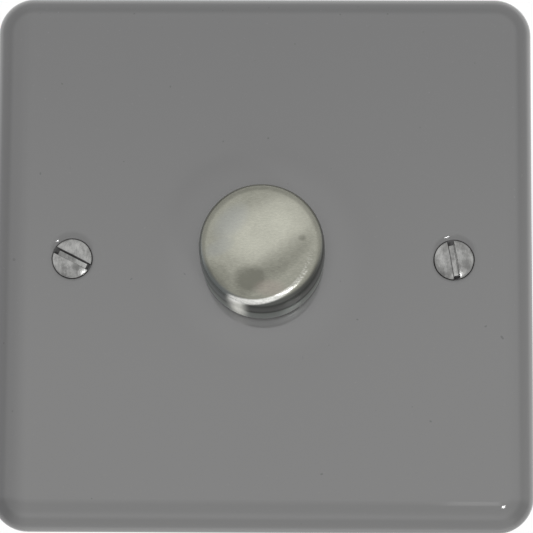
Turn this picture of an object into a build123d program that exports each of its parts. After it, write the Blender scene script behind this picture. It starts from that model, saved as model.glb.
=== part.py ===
from build123d import *
import math
import os

# A one gang rotary dimmer switch for a wall box, push for on and off, turn to dim.
# Frame: the origin is the middle of the plate's rim where it meets the wall, +Z is up and
# -Y points into the room. "Height" below always means the distance from the wall into the
# room, so a piece inside the wall box has negative heights. All sizes are millimetres.

# Front plate: one pressed steel sheet
plate_width = 86.0
plate_depth = 5.5
plate_sheet = 1.0
plate_corner_radius = 6.0
plate_edge_radius = 5.1
seat_clearance = 0.15

# Fixing screws: M3.5 with raised countersunk heads, one each side
screw_pitch = 60.3
screw_length = 25.0
screw_radius = 1.75
screw_neck_radius = 1.5
screw_neck_length = 2.4
screw_head_radius = 3.1
screw_head_crown = 0.55
screw_head_land = 0.15
screw_slot_width = 1.0
screw_slot_depth = 1.35
left_slot_angle = -27.0
right_slot_angle = 100.0
screw_hole_clearance = 0.25
sink_mouth_margin = 0.45
sink_mouth_rounding = 2.0
retainer_radius = 3.3
retainer_thickness = 0.8

# Threaded bush, nut and washer that clamp the module to the plate
bush_radius = 5.0
bush_bore_clearance = 0.05
bush_stand = 3.7
bush_collar_radius = 6.6
bush_collar_thickness = 1.2
bush_stake_radius = 4.2
nut_across_flats = 13.0
nut_thickness = 2.0
washer_thickness = 0.5
washer_radius = 7.2
washer_teeth = 10
washer_tooth_length = 0.85
washer_tooth_width = 1.6

# Knob and its spindle
knob_radius = 9.65
knob_shoulder_radius = 9.25
knob_height = 14.4
knob_straight_height = 8.7
knob_crown = 0.5
knob_shoulder_fillet = 2.0
knob_wall = 0.9
knob_draft = 0.8
knob_gap = 1.6
push_travel = 1.2
insert_boss_radius = 5.0
insert_rib_thickness = 1.2
insert_rib_count = 6
insert_rib_setback = 1.0
insert_disc_thickness = 1.4
insert_clearance = 0.05
spindle_radius = 3.0
spindle_flat = 1.5
spindle_tip_gap = 0.6
spindle_drive_radius = 2.6
spindle_drive_flat = 1.8
spindle_groove_radius = 2.2
spindle_tail_radius = 1.4
spindle_tail_stand = 0.6
grip_width = 3.0
grip_sheet = 0.3
clip_thickness = 0.6
clip_radius = 4.4
clip_mouth = 3.4
running_gap = 0.05

# Module envelope: an aluminium frame round a moulded case
module_width = 46.0
module_height = 50.0
frame_sheet = 1.5
frame_bend_radius = 2.0
cheek_depth = 13.5
cheek_slot_length = 22.0
cheek_slot_width = 2.2
cheek_slot_pitch = 4.4
cheek_slot_z = -8.0
case_wall = 1.5
case_corner_radius = 1.5
case_back_fillet = 1.0
case_side_gap = 0.1
solder_room = 2.4
post_radius = 1.8
post_inset = 2.5
vent_width = 1.6
vent_length = 13.0
vent_pitch = 4.5
vent_count = 7
back_vent_z = 5.0
top_vent_length = 9.0
top_vent_height = -7.0

# Rotary control
pot_radius = 8.5
pot_sheet = 0.5
pot_lug_width = 2.2
pot_foot_width = 12.0
pot_foot_reach = 2.5
pot_tag_pitch = 4.0
pot_tag_sheet = 0.4
rotor_radius = 6.6
rotor_disc = 1.6
rotor_hub_radius = 4.2
rotor_stop_radius = 7.6
stop_tab_width = 1.6
turn_range = 140.0
wiper_room = 1.2
wafer_thickness = 1.4
track_inner_radius = 5.0
track_outer_radius = 7.0
track_thickness = 0.2
track_mouth = 4.0
contact_sheet = 0.25
finger_pitch = 1.6
finger_width = 0.8
finger_length = 1.0

# Push switch behind the rotary control
switch_width = 17.0
switch_depth = 7.6
switch_wall = 2.0
switch_floor = 1.2
switch_corner_radius = 1.5
switch_cavity_corner = 1.0
plunger_radius = 3.2
plunger_disc = 1.4
plunger_boss_radius = 1.8
plunger_boss_length = 1.0
plunger_stem_radius = 1.0
stem_entry = 0.3
bridge_length = 11.0
bridge_width = 2.6
bridge_sheet = 0.4
bridge_overhang = 0.5
spring_radius = 1.7
spring_wire_radius = 0.18
spring_turns = 3.5
contact_pad = 3.0

# Circuit board and what is soldered to it
board_thickness = 1.6
board_edge_gap = 0.4
board_gap = 0.45
choke_radius = 5.2
choke_bore_radius = 2.2
choke_height = 4.6
choke_wire_radius = 0.4
choke_turns = 14
choke_margin = 0.8
capacitor_length = 15.0
capacitor_width = 6.0
capacitor_height = 9.5
capacitor_x = 6.0
capacitor_margin = 1.0
capacitor_fillet = 0.5
triac_width = 10.0
triac_tab_length = 6.3
triac_body_length = 7.0
triac_tab_sheet = 1.3
triac_body_depth = 3.2
triac_leg = 0.8
triac_leg_pitch = 2.54
triac_side_gap = 2.9
rivet_radius = 1.6
rivet_top_gap = 4.0
fuse_radius = 2.5
fuse_length = 15.0
fuse_cap_length = 4.5
fuse_cap_sheet = 0.15
fuse_stand = 1.2
fuse_side_gap = 2.2
fuse_bay_gap = 1.5
fuse_clip_sheet = 0.4
fuse_clip_foot = 1.6
fuse_clip_inset = 0.5
resistor_radius = 1.0
resistor_length = 6.0
resistor_pitch = 2.8
resistor_count = 3
resistor_stand = 0.8
resistor_side_gap = 0.7
resistor_z = -2.0
lead_radius = 0.35
lead_overhang = 1.5

# Brass terminals with their clamping screws
terminal_width = 7.0
terminal_length = 9.0
terminal_depth = 7.5
terminal_pitch = 12.0
terminal_count = 3
terminal_end_wall = 1.2
terminal_chamfer = 0.4
wire_hole_radius = 1.75
wire_hole_rise = 4.4
entry_clearance = 0.65
pocket_gap = 0.1
bay_wall = 1.2
terminal_floor = 3.0
clamp_radius = 1.7
clamp_head_radius = 2.6
clamp_head_thickness = 1.4
clamp_length = 4.0
clamp_slot_width = 0.8
clamp_tip_gap = 0.1
solder_leg_width = 1.2
solder_leg_shift = 2.0
solder_leg_sheet = 0.8
earth_width = 8.0
earth_length = 6.5
earth_depth = 10.0
earth_wire_radius = 1.6
earth_wire_rise = 3.3
earth_side_gap = 2.5
earth_top_gap = 1.25

# Liner of insulating plastic inside the plate
liner_side_gap = 1.0
liner_sheet = 0.8
liner_edge_gap = 0.7
liner_rim_gap = 0.4
liner_window_gap = 0.3
liner_hole_gap = 0.5

# Case screws, one through each cheek
case_screw_radius = 1.1
case_screw_head_radius = 2.2
case_screw_head_thickness = 1.1
case_screw_length = 4.6
case_screw_top_gap = 9.0
case_screw_height = -3.5
boss_wall = 1.2
boss_length = 2.0

# Heights that follow from the stack of pieces
plate_face = plate_depth
plate_back = plate_face - plate_sheet
frame_back = plate_back - frame_sheet
collar_back = frame_back - bush_collar_thickness
bush_rear = collar_back - pot_sheet
clip_front = bush_rear - running_gap
clip_back = clip_front - clip_thickness
rotor_front = clip_back - push_travel - 4 * running_gap
rotor_back = rotor_front - rotor_disc
wafer_front = rotor_back - wiper_room
wafer_back = wafer_front - wafer_thickness
switch_back = wafer_back - switch_depth
switch_floor_height = switch_back + switch_floor
board_front = switch_back - board_gap
board_back = board_front - board_thickness
case_inside_back = board_back - solder_room
case_back = case_inside_back - case_wall
terminal_back = case_back + terminal_floor
wire_height = terminal_back + wire_hole_rise
washer_top = plate_face + washer_thickness
nut_top = washer_top + nut_thickness
bush_top = plate_face + bush_stand
knob_base = plate_face + knob_gap
knob_top = knob_base + knob_height
knob_ceiling = knob_top - knob_crown - knob_wall
insert_base = bush_top + push_travel + 8 * running_gap
disc_base = knob_ceiling - insert_disc_thickness
spindle_tip = knob_ceiling - spindle_tip_gap
drive_end = wafer_front + 4 * running_gap
tail_end = wafer_back - spindle_tail_stand
plunger_front = tail_end - running_gap
disc_front = plunger_front - plunger_boss_length
disc_back = disc_front - plunger_disc
bridge_back = disc_back - bridge_sheet

# Widths that follow from the same values
bush_bore_radius = spindle_radius + bush_bore_clearance
clearance_hole_radius = bush_radius + seat_clearance
washer_root_radius = clearance_hole_radius + washer_tooth_length
case_width = module_width - 2 * (frame_sheet + case_side_gap)
case_inside_width = case_width - 2 * case_wall
case_inside_height = module_height - 2 * case_wall
liner_width = plate_width - 2 * (plate_sheet + liner_side_gap)
liner_corner_radius = plate_corner_radius - plate_sheet - liner_side_gap
liner_edge_radius = plate_edge_radius - plate_sheet - liner_edge_gap
terminal_z = -(module_height / 2 - case_wall - 2 * pocket_gap - terminal_length / 2)
bay_top_z = terminal_z + terminal_length / 2 + pocket_gap + bay_wall
board_width = case_inside_width - 2 * board_edge_gap
board_top_z = case_inside_height / 2 - board_edge_gap
board_bottom_z = bay_top_z + board_edge_gap
switch_cavity = switch_width - 2 * switch_wall
cap_inside_radius = knob_radius - knob_wall
head_depth = screw_head_radius - screw_neck_radius
hole_radius = screw_radius + screw_hole_clearance
sink_radius = screw_head_radius + sink_mouth_margin
head_rim = plate_face - sink_mouth_margin
dimple_depth = sink_radius - hole_radius
case_screw_z = module_height / 2 - case_screw_top_gap
earth_x = -(module_width / 2 + earth_side_gap + earth_width / 2)
earth_z = module_height / 2 + earth_top_gap + earth_length / 2
choke_x = -(board_width / 2 - choke_margin - choke_radius)
choke_z = board_top_z - choke_margin - choke_radius
triac_x = case_inside_width / 2 - triac_side_gap - triac_width / 2
rivet_z = case_inside_height / 2 - rivet_top_gap
fuse_x = -(board_width / 2 - fuse_side_gap - fuse_radius)
fuse_z = bay_top_z + fuse_bay_gap + fuse_length / 2
resistor_x = case_inside_width / 2 - resistor_side_gap - resistor_radius
stop_lug_half_angle = 180 - turn_range - math.degrees(stop_tab_width / 2 / rotor_radius) - 1
tiny_break = 0.2


def room(height):
    """Plane at a height above the wall that faces the room: its x is +X and its y is +Z."""
    return Plane.XZ.offset(height)


def turned(x=0.0, z=0.0):
    """Plane for profiles that are turned about the Y direction: its x is the radius, its y the height."""
    return Plane(origin=(x, 0, z), x_dir=(1, 0, 0), z_dir=(0, 0, -1))


def turning_axis(x=0.0, z=0.0):
    """The axis that goes with turned(x, z)."""
    return Axis((x, 0, z), (0, 1, 0))


os.makedirs("parts", exist_ok=True)


def pressed_form(width, base, top, corner_radius, edge_radius):
    """A square block from one height to another whose edges towards the room are rounded."""
    with BuildPart() as form:
        with BuildSketch(room(base)):
            RectangleRounded(width, width, corner_radius)
        extrude(amount=top - base)
        fillet(form.faces().sort_by(Axis.Y)[0].edges(), edge_radius)
    return form.part


# Front plate: flat face, soft pressed edges, dimpled countersinks and a hole for the bush
with BuildPart() as front_plate:
    add(pressed_form(plate_width, 0, plate_face, plate_corner_radius, plate_edge_radius))
    add(
        pressed_form(
            plate_width - 2 * plate_sheet,
            0,
            plate_back,
            plate_corner_radius - plate_sheet,
            plate_edge_radius - plate_sheet,
        ),
        mode=Mode.SUBTRACT,
    )
    with Locations(room(plate_back)):
        with GridLocations(screw_pitch, screw_pitch, 2, 1):
            Cone(
                bottom_radius=hole_radius + plate_sheet,
                top_radius=sink_radius + plate_sheet,
                height=dimple_depth,
                align=(Align.CENTER, Align.CENTER, Align.MAX),
            )
    with Locations(room(plate_face)):
        with GridLocations(screw_pitch, screw_pitch, 2, 1):
            CounterSinkHole(hole_radius, sink_radius, counter_sink_angle=90)
    face = front_plate.faces().sort_by(Axis.Y)[0]
    fillet(face.inner_wires().edges(), sink_mouth_rounding)
    with Locations(room(plate_face)):
        Hole(clearance_hole_radius)
front_plate.part.label = "front_plate"
export_step(front_plate.part, "parts/front_plate.step")


# Liner: a black plastic tray that keeps the wiring off the metal plate
with BuildPart() as insulating_liner:
    add(
        pressed_form(
            liner_width,
            liner_rim_gap,
            plate_back,
            liner_corner_radius,
            liner_edge_radius,
        )
    )
    add(
        pressed_form(
            liner_width - 2 * liner_sheet,
            0,
            plate_back - liner_sheet,
            liner_corner_radius - liner_sheet,
            liner_edge_radius - liner_sheet,
        ),
        mode=Mode.SUBTRACT,
    )
    with BuildSketch(room(plate_back)):
        Rectangle(module_width + 2 * liner_window_gap, module_height + 2 * liner_window_gap)
        with GridLocations(screw_pitch, screw_pitch, 2, 1):
            Circle(sink_radius + plate_sheet + liner_hole_gap)
        with Locations((earth_x, earth_z)):
            Rectangle(earth_width + 2 * liner_window_gap, earth_length + 2 * liner_window_gap)
    extrude(amount=-plate_back, mode=Mode.SUBTRACT)
insulating_liner.part.label = "insulating_liner"
export_step(insulating_liner.part, "parts/insulating_liner.step")


# Fixing screws: raised countersunk head with a slot, thin neck, then the threaded length
for side, slot_angle in (("left", left_slot_angle), ("right", right_slot_angle)):
    screw_x = -screw_pitch / 2 if side == "left" else screw_pitch / 2
    cone_end = head_rim - head_depth
    head_top = head_rim + screw_head_land + screw_head_crown
    thread_start = cone_end - screw_neck_length
    screw_tip = plate_face - screw_length
    with BuildPart() as fixing_screw:
        with BuildSketch(turned(screw_x)):
            with BuildLine():
                Polyline(
                    (0, head_top),
                    (0, screw_tip),
                    (screw_neck_radius, screw_tip),
                    (screw_radius, screw_tip + screw_radius - screw_neck_radius),
                    (screw_radius, thread_start),
                    (screw_neck_radius, thread_start),
                    (screw_neck_radius, cone_end),
                    (screw_head_radius, head_rim),
                    (screw_head_radius, head_rim + screw_head_land),
                )
                TangentArc(
                    (0, head_top),
                    (screw_head_radius, head_rim + screw_head_land),
                    tangent=(1, 0),
                )
            make_face()
        revolve(axis=turning_axis(screw_x))
        with BuildSketch(room(head_top)):
            with Locations((screw_x, 0)):
                Rectangle(3 * screw_head_radius, screw_slot_width, rotation=slot_angle)
        extrude(amount=-screw_slot_depth, mode=Mode.SUBTRACT)
    fixing_screw.part.label = f"fixing_screw_{side}"
    export_step(fixing_screw.part, f"parts/fixing_screw_{side}.step")


# Retainers: fibre washers pushed on the screws' necks, so the screws stay in the plate
retainer_front = plate_back - dimple_depth - running_gap
with BuildPart() as screw_retainers:
    with BuildSketch(room(retainer_front)):
        with GridLocations(screw_pitch, screw_pitch, 2, 1):
            Circle(retainer_radius)
            Circle(screw_neck_radius + running_gap, mode=Mode.SUBTRACT)
    extrude(amount=-retainer_thickness)
screw_retainers.part.label = "screw_retainers"
export_step(screw_retainers.part, "parts/screw_retainers.step")


# Lock washer with internal teeth, on the plate's face under the knob
with BuildPart() as lock_washer:
    with BuildSketch(room(plate_face)):
        Circle(washer_radius)
        Circle(washer_root_radius, mode=Mode.SUBTRACT)
        with PolarLocations(washer_root_radius, washer_teeth):
            Rectangle(2 * washer_tooth_length, washer_tooth_width)
        Circle(clearance_hole_radius, mode=Mode.SUBTRACT)
    extrude(amount=washer_thickness)
lock_washer.part.label = "lock_washer"
export_step(lock_washer.part, "parts/lock_washer.step")


# Bush nut: thin hexagon, chamfered on its outer side
with BuildPart() as bush_nut:
    with BuildSketch(room(washer_top)):
        RegularPolygon(nut_across_flats / 2, 6, major_radius=False)
    extrude(amount=nut_thickness)
    with BuildSketch(turned()):
        with BuildLine():
            corner = nut_across_flats / 2 / math.cos(math.pi / 6)
            Polyline(
                (nut_across_flats / 2 - tiny_break, nut_top),
                (corner + 1, nut_top),
                (corner + 1, nut_top - (corner + 1 - nut_across_flats / 2) / 2),
                close=True,
            )
        make_face()
    revolve(axis=turning_axis(), mode=Mode.SUBTRACT)
    with Locations(room(nut_top)):
        Hole(bush_radius + running_gap)
bush_nut.part.label = "bush_nut"
export_step(bush_nut.part, "parts/bush_nut.step")


# Threaded bush: turned brass, its collar bears on the frame and its stake holds the pot cover
with BuildPart() as threaded_bush:
    with BuildSketch(turned()):
        with BuildLine():
            Polyline(
                (bush_bore_radius, bush_top),
                (bush_radius - tiny_break, bush_top),
                (bush_radius, bush_top - tiny_break),
                (bush_radius, frame_back),
                (bush_collar_radius, frame_back),
                (bush_collar_radius, collar_back),
                (bush_stake_radius, collar_back),
                (bush_stake_radius, bush_rear),
                (bush_bore_radius, bush_rear),
                close=True,
            )
        make_face()
    revolve(axis=turning_axis())
threaded_bush.part.label = "threaded_bush"
export_step(threaded_bush.part, "parts/threaded_bush.step")


# Mounting frame: folded aluminium that clamps behind the plate and draws heat off the triac
with BuildPart() as mounting_frame:
    with BuildSketch(Plane.XY):
        with Locations((0, -plate_back)):
            Rectangle(
                module_width, frame_sheet + cheek_depth, align=(Align.CENTER, Align.MIN)
            )
        with Locations((0, -frame_back)):
            Rectangle(
                module_width - 2 * frame_sheet,
                cheek_depth,
                align=(Align.CENTER, Align.MIN),
                mode=Mode.SUBTRACT,
            )
    extrude(amount=module_height / 2, both=True)
    folds = mounting_frame.edges().filter_by(Axis.Z).group_by(Axis.Y)
    fillet(folds[0], frame_bend_radius)
    fillet(
        mounting_frame.edges().filter_by(Axis.X).group_by(Axis.Y)[-1].group_by(Axis.Z)[0]
        + mounting_frame.edges().filter_by(Axis.X).group_by(Axis.Y)[-1].group_by(Axis.Z)[-1],
        frame_bend_radius,
    )
    with Locations(room(plate_back)):
        Hole(clearance_hole_radius)
        with Locations((triac_x, rivet_z)):
            Hole(rivet_radius)
    with BuildSketch(Plane.YZ.offset(-module_width)):
        with Locations((-case_screw_height, case_screw_z)):
            Circle(case_screw_radius + seat_clearance)
        with Locations((cheek_depth / 2 - frame_back, cheek_slot_z)):
            with GridLocations(cheek_slot_pitch, cheek_slot_pitch, 2, 1):
                SlotOverall(cheek_slot_length, cheek_slot_width, rotation=90)
    extrude(amount=2 * module_width, mode=Mode.SUBTRACT)
mounting_frame.part.label = "mounting_frame"
export_step(mounting_frame.part, "parts/mounting_frame.step")


# Module case: moulded box with board posts, screw bosses, vents and a bay for the terminals
with BuildPart() as module_case:
    with BuildSketch(room(frame_back)):
        RectangleRounded(case_width, module_height, case_corner_radius)
    extrude(amount=case_back - frame_back)
    fillet(module_case.faces().sort_by(Axis.Y)[-1].edges(), case_back_fillet)
    with BuildSketch(room(frame_back)):
        Rectangle(case_inside_width, case_inside_height)
    extrude(amount=case_inside_back - frame_back, mode=Mode.SUBTRACT)
    with BuildSketch(room(case_inside_back)):
        with Locations((0, bay_top_z)):
            Rectangle(
                case_inside_width,
                bay_top_z + case_inside_height / 2,
                align=(Align.CENTER, Align.MAX),
            )
    extrude(amount=terminal_back + terminal_depth - case_inside_back)
    with BuildSketch(room(terminal_back)):
        with Locations((0, terminal_z)):
            with GridLocations(terminal_pitch, terminal_pitch, terminal_count, 1):
                Rectangle(terminal_width + 2 * pocket_gap, terminal_length + 2 * pocket_gap)
    extrude(amount=terminal_depth, mode=Mode.SUBTRACT)
    with BuildSketch(room(case_back)):
        with Locations((0, terminal_z)):
            with GridLocations(terminal_pitch, terminal_pitch, terminal_count, 1):
                Circle(clamp_head_radius + 2 * seat_clearance)
    extrude(amount=terminal_floor, mode=Mode.SUBTRACT)
    with BuildSketch(Plane.XY.offset(-module_height / 2)):
        with Locations((0, -wire_height)):
            with GridLocations(terminal_pitch, terminal_pitch, terminal_count, 1):
                Circle(wire_hole_radius + entry_clearance)
    extrude(amount=2 * case_wall + pocket_gap, mode=Mode.SUBTRACT)
    with BuildSketch(room(board_front)):
        with Locations((solder_leg_shift, bay_top_z)):
            with GridLocations(terminal_pitch, terminal_pitch, terminal_count, 1):
                Rectangle(solder_leg_width + 4 * pocket_gap, 3 * bay_wall)
    extrude(amount=terminal_depth, mode=Mode.SUBTRACT)
    with BuildSketch(room(case_inside_back)):
        with Locations((0, (board_bottom_z + board_top_z) / 2)):
            with GridLocations(
                board_width - 2 * post_inset, board_top_z - board_bottom_z - 2 * post_inset, 2, 2
            ):
                Circle(post_radius)
    extrude(amount=solder_room)
    with BuildSketch(Plane.YZ):
        with Locations((-case_screw_height, case_screw_z)):
            Circle(case_screw_radius + boss_wall)
    extrude(amount=case_inside_width / 2, both=True)
    with BuildSketch(Plane.YZ):
        with Locations((-case_screw_height, case_screw_z)):
            Circle(case_screw_radius + 2 * boss_wall)
    extrude(amount=case_inside_width / 2 - boss_length, both=True, mode=Mode.SUBTRACT)
    with BuildSketch(Plane.YZ):
        with Locations((-case_screw_height, case_screw_z)):
            Circle(case_screw_radius)
    extrude(amount=case_width, both=True, mode=Mode.SUBTRACT)
    with BuildSketch(room(case_back)):
        with Locations((0, back_vent_z)):
            with GridLocations(vent_pitch, vent_pitch, vent_count, 1):
                SlotOverall(vent_length, vent_width, rotation=90)
    extrude(amount=case_wall, mode=Mode.SUBTRACT)
    with BuildSketch(Plane.XY.offset(module_height / 2)):
        with Locations((0, -top_vent_height)):
            with GridLocations(vent_pitch, vent_pitch, vent_count, 1):
                SlotOverall(top_vent_length, vent_width, rotation=90)
    extrude(amount=-case_wall, mode=Mode.SUBTRACT)
module_case.part.label = "module_case"
export_step(module_case.part, "parts/module_case.step")


# Case screws: pan heads on the cheeks, shanks in the case's bosses
with BuildPart() as case_screws:
    for side in (-1, 1):
        with BuildSketch(Plane.YZ.offset(side * module_width / 2)):
            with Locations((-case_screw_height, case_screw_z)):
                Circle(case_screw_head_radius)
        extrude(amount=side * case_screw_head_thickness)
        with BuildSketch(Plane.YZ.offset(side * module_width / 2)):
            with Locations((-case_screw_height, case_screw_z)):
                Circle(case_screw_radius)
        extrude(amount=-side * case_screw_length)
        with BuildSketch(Plane.YZ.offset(side * (module_width / 2 + case_screw_head_thickness))):
            with Locations((-case_screw_height, case_screw_z)):
                Rectangle(3 * case_screw_head_radius, clamp_slot_width, rotation=35)
        extrude(amount=-side * case_screw_head_thickness / 2, mode=Mode.SUBTRACT)
case_screws.part.label = "case_screws"
export_step(case_screws.part, "parts/case_screws.step")


# Pot cover: a steel can staked on the bush, with a stop tab bent inwards and two lugs
with BuildPart() as pot_cover:
    with BuildSketch(room(collar_back)):
        Circle(pot_radius)
    extrude(amount=wafer_front - collar_back)
    with BuildSketch(room(bush_rear)):
        Circle(pot_radius - pot_sheet)
    extrude(amount=wafer_front - bush_rear, mode=Mode.SUBTRACT)
    with Locations(room(collar_back)):
        Hole(bush_stake_radius)
    with BuildSketch(room(bush_rear)):
        with Locations((0, -pot_radius + pot_sheet)):
            Rectangle(
                stop_tab_width,
                pot_radius - pot_sheet - rotor_radius - 3 * running_gap,
                align=(Align.CENTER, Align.MIN),
            )
    extrude(amount=rotor_back - bush_rear)
    with BuildSketch(room(wafer_front)):
        with PolarLocations(pot_radius - pot_sheet / 2, 2):
            Rectangle(pot_sheet, pot_lug_width)
    extrude(amount=-wafer_thickness)
pot_cover.part.label = "pot_cover"
export_step(pot_cover.part, "parts/pot_cover.step")


# Pot wafer: phenolic disc that carries the track, notched for the cover's lugs
with BuildPart() as pot_wafer:
    with BuildSketch(room(wafer_front)):
        Circle(pot_radius)
        with Locations((0, -pot_radius)):
            Rectangle(pot_foot_width, 2 * pot_foot_reach)
        with PolarLocations(pot_radius - pot_sheet / 2, 2):
            Rectangle(2 * pot_sheet, pot_lug_width + 2 * seat_clearance, mode=Mode.SUBTRACT)
        Circle(spindle_tail_radius + seat_clearance, mode=Mode.SUBTRACT)
    extrude(amount=-wafer_thickness)
pot_wafer.part.label = "pot_wafer"
export_step(pot_wafer.part, "parts/pot_wafer.step")


# Resistance track: a printed carbon arc, open at the bottom
with BuildPart() as resistance_track:
    with BuildSketch(room(wafer_front)):
        Circle(track_outer_radius)
        Circle(track_inner_radius, mode=Mode.SUBTRACT)
        with Locations((0, -track_outer_radius)):
            Rectangle(track_mouth, track_outer_radius, mode=Mode.SUBTRACT)
    extrude(amount=track_thickness)
resistance_track.part.label = "resistance_track"
export_step(resistance_track.part, "parts/resistance_track.step")


# Pot tags: three tinned legs from the wafer's foot to the board
with BuildPart() as pot_tags:
    with BuildSketch(room(wafer_back)):
        with Locations((0, -pot_radius - pot_foot_reach / 2)):
            with GridLocations(pot_tag_pitch, pot_tag_pitch, 3, 1):
                Rectangle(solder_leg_width, pot_tag_sheet)
    extrude(amount=board_front - wafer_back)
pot_tags.part.label = "pot_tags"
export_step(pot_tags.part, "parts/pot_tags.step")


# Wiper rotor: moulded disc and hub, keyed to the spindle, with a broad stop lug
with BuildPart() as wiper_rotor:
    with BuildSketch(room(rotor_front)):
        Circle(rotor_radius)
        with BuildLine():
            lug_start = 90 - stop_lug_half_angle
            lug_sweep = 2 * stop_lug_half_angle
            outer = CenterArc((0, 0), rotor_stop_radius, lug_start, lug_sweep)
            Line(outer @ 1, (0, 0))
            Line((0, 0), outer @ 0)
        make_face()
    extrude(amount=-rotor_disc)
    with BuildSketch(room(rotor_back)):
        Circle(rotor_hub_radius)
    extrude(amount=-(wiper_room - 6 * running_gap))
    with BuildSketch(room(rotor_front)):
        Circle(spindle_drive_radius + running_gap)
        Rectangle(
            4 * spindle_drive_radius,
            2 * (spindle_drive_flat + running_gap),
            mode=Mode.INTERSECT,
        )
    extrude(amount=-(rotor_disc + wiper_room), mode=Mode.SUBTRACT)
wiper_rotor.part.label = "wiper_rotor"
export_step(wiper_rotor.part, "parts/wiper_rotor.step")


# Wiper contact: bronze ring on the rotor with two fingers that lean down on the track
finger_reach = wiper_room - track_thickness - 2 * running_gap
with BuildPart() as wiper_contact:
    with BuildSketch(room(rotor_back)):
        Circle(rotor_radius)
        Circle(rotor_hub_radius + running_gap, mode=Mode.SUBTRACT)
        with Locations((0, -rotor_radius)):
            Rectangle(4 * rotor_radius, 2 * rotor_radius, mode=Mode.SUBTRACT)
    extrude(amount=-contact_sheet)
    with BuildSketch(room(rotor_back)):
        with Locations((0, (track_inner_radius + track_outer_radius) / 2)):
            with GridLocations(finger_pitch, finger_pitch, 2, 1):
                Rectangle(finger_width, finger_length)
    extrude(amount=-finger_reach)
wiper_contact.part.label = "wiper_contact"
export_step(wiper_contact.part, "parts/wiper_contact.step")


# Spindle: 6 mm rod with a flat for the knob, clip groove, keyed drive and a thin tail
with BuildPart() as spindle:
    with BuildSketch(turned()):
        with BuildLine():
            Polyline(
                (0, spindle_tip),
                (spindle_radius - tiny_break, spindle_tip),
                (spindle_radius, spindle_tip - tiny_break),
                (spindle_radius, clip_front),
                (spindle_groove_radius, clip_front),
                (spindle_groove_radius, clip_back),
                (spindle_drive_radius, clip_back),
                (spindle_drive_radius, drive_end + push_travel),
                (spindle_tail_radius, drive_end + push_travel),
                (spindle_tail_radius, tail_end),
                (0, tail_end),
                close=True,
            )
        make_face()
    revolve(axis=turning_axis())
    with BuildSketch(room(spindle_tip)):
        with Locations((0, spindle_flat)):
            Rectangle(
                3 * spindle_radius, spindle_radius, align=(Align.CENTER, Align.MIN)
            )
    extrude(amount=insert_base - spindle_tip, mode=Mode.SUBTRACT)
    with BuildSketch(room(clip_back)):
        Rectangle(3 * spindle_drive_radius, 3 * spindle_drive_radius)
        Rectangle(3 * spindle_drive_radius, 2 * spindle_drive_flat, mode=Mode.SUBTRACT)
    extrude(amount=drive_end + push_travel - clip_back, mode=Mode.SUBTRACT)
spindle.part.label = "spindle"
export_step(spindle.part, "parts/spindle.step")


# Retaining clip: spring steel, snapped in the groove so the spindle can't be pulled out
with BuildPart() as retaining_clip:
    with BuildSketch(room(clip_front)):
        Circle(clip_radius)
        Circle(spindle_groove_radius + running_gap, mode=Mode.SUBTRACT)
        with Locations((0, -clip_radius)):
            Rectangle(clip_mouth, 2 * clip_radius, mode=Mode.SUBTRACT)
    extrude(amount=-clip_thickness)
retaining_clip.part.label = "retaining_clip"
export_step(retaining_clip.part, "parts/retaining_clip.step")


# Knob cap: spun steel shell, straight skirt, eased upper wall, round shoulder, faint crown
with BuildPart() as knob_cap:
    with BuildSketch(turned()) as knob_profile:
        with BuildLine():
            Line((0, knob_base), (knob_radius, knob_base))
            Line((knob_radius, knob_base), (knob_radius, knob_base + knob_straight_height))
            TangentArc(
                (knob_radius, knob_base + knob_straight_height),
                (knob_shoulder_radius, knob_top - knob_crown),
                tangent=(0, 1),
            )
            TangentArc(
                (0, knob_top), (knob_shoulder_radius, knob_top - knob_crown), tangent=(1, 0)
            )
            Line((0, knob_top), (0, knob_base))
        make_face()
        fillet(knob_profile.vertices().sort_by(Axis.Y)[-2], knob_shoulder_fillet)
    revolve(axis=turning_axis())
    with BuildSketch(room(knob_base)):
        Circle(cap_inside_radius)
    extrude(amount=knob_ceiling - knob_base, mode=Mode.SUBTRACT, taper=knob_draft)
    rims = knob_cap.edges().filter_by(GeomType.CIRCLE).group_by(Axis.Y)[-1]
    fillet(rims, tiny_break)
knob_cap.part.label = "knob_cap"
export_step(knob_cap.part, "parts/knob_cap.step")


# Knob insert: moulded core with a boss on the spindle and ribs that carry the shell
insert_radius = cap_inside_radius - (knob_ceiling - knob_base) * math.tan(math.radians(knob_draft))
insert_radius -= insert_clearance
with BuildPart() as knob_insert:
    with BuildSketch(room(knob_ceiling)):
        Circle(insert_radius)
    extrude(amount=-insert_disc_thickness)
    with BuildSketch(room(disc_base)):
        Circle(insert_boss_radius)
        with PolarLocations((insert_boss_radius + insert_radius) / 2, insert_rib_count):
            Rectangle(insert_radius - insert_boss_radius + insert_rib_thickness, insert_rib_thickness)
        Circle(insert_radius, mode=Mode.INTERSECT)
    extrude(amount=insert_base + insert_rib_setback - disc_base)
    with BuildSketch(room(insert_base)):
        Circle(insert_boss_radius)
    extrude(amount=disc_base - insert_base)
    with BuildSketch(room(insert_base)):
        Circle(spindle_radius + running_gap)
        with Locations((0, spindle_flat + grip_sheet + running_gap)):
            Rectangle(
                4 * spindle_radius,
                spindle_radius,
                align=(Align.CENTER, Align.MIN),
                mode=Mode.SUBTRACT,
            )
    extrude(amount=spindle_tip + running_gap - insert_base, mode=Mode.SUBTRACT)
knob_insert.part.label = "knob_insert"
export_step(knob_insert.part, "parts/knob_insert.step")


# Grip spring: a flat spring between the spindle's flat and the boss, that holds the knob on
with BuildPart() as grip_spring:
    with BuildSketch(room(insert_base)):
        with Locations((0, spindle_flat)):
            Rectangle(grip_width, grip_sheet, align=(Align.CENTER, Align.MIN))
    extrude(amount=spindle_tip - insert_base)
grip_spring.part.label = "grip_spring"
export_step(grip_spring.part, "parts/grip_spring.step")


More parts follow.
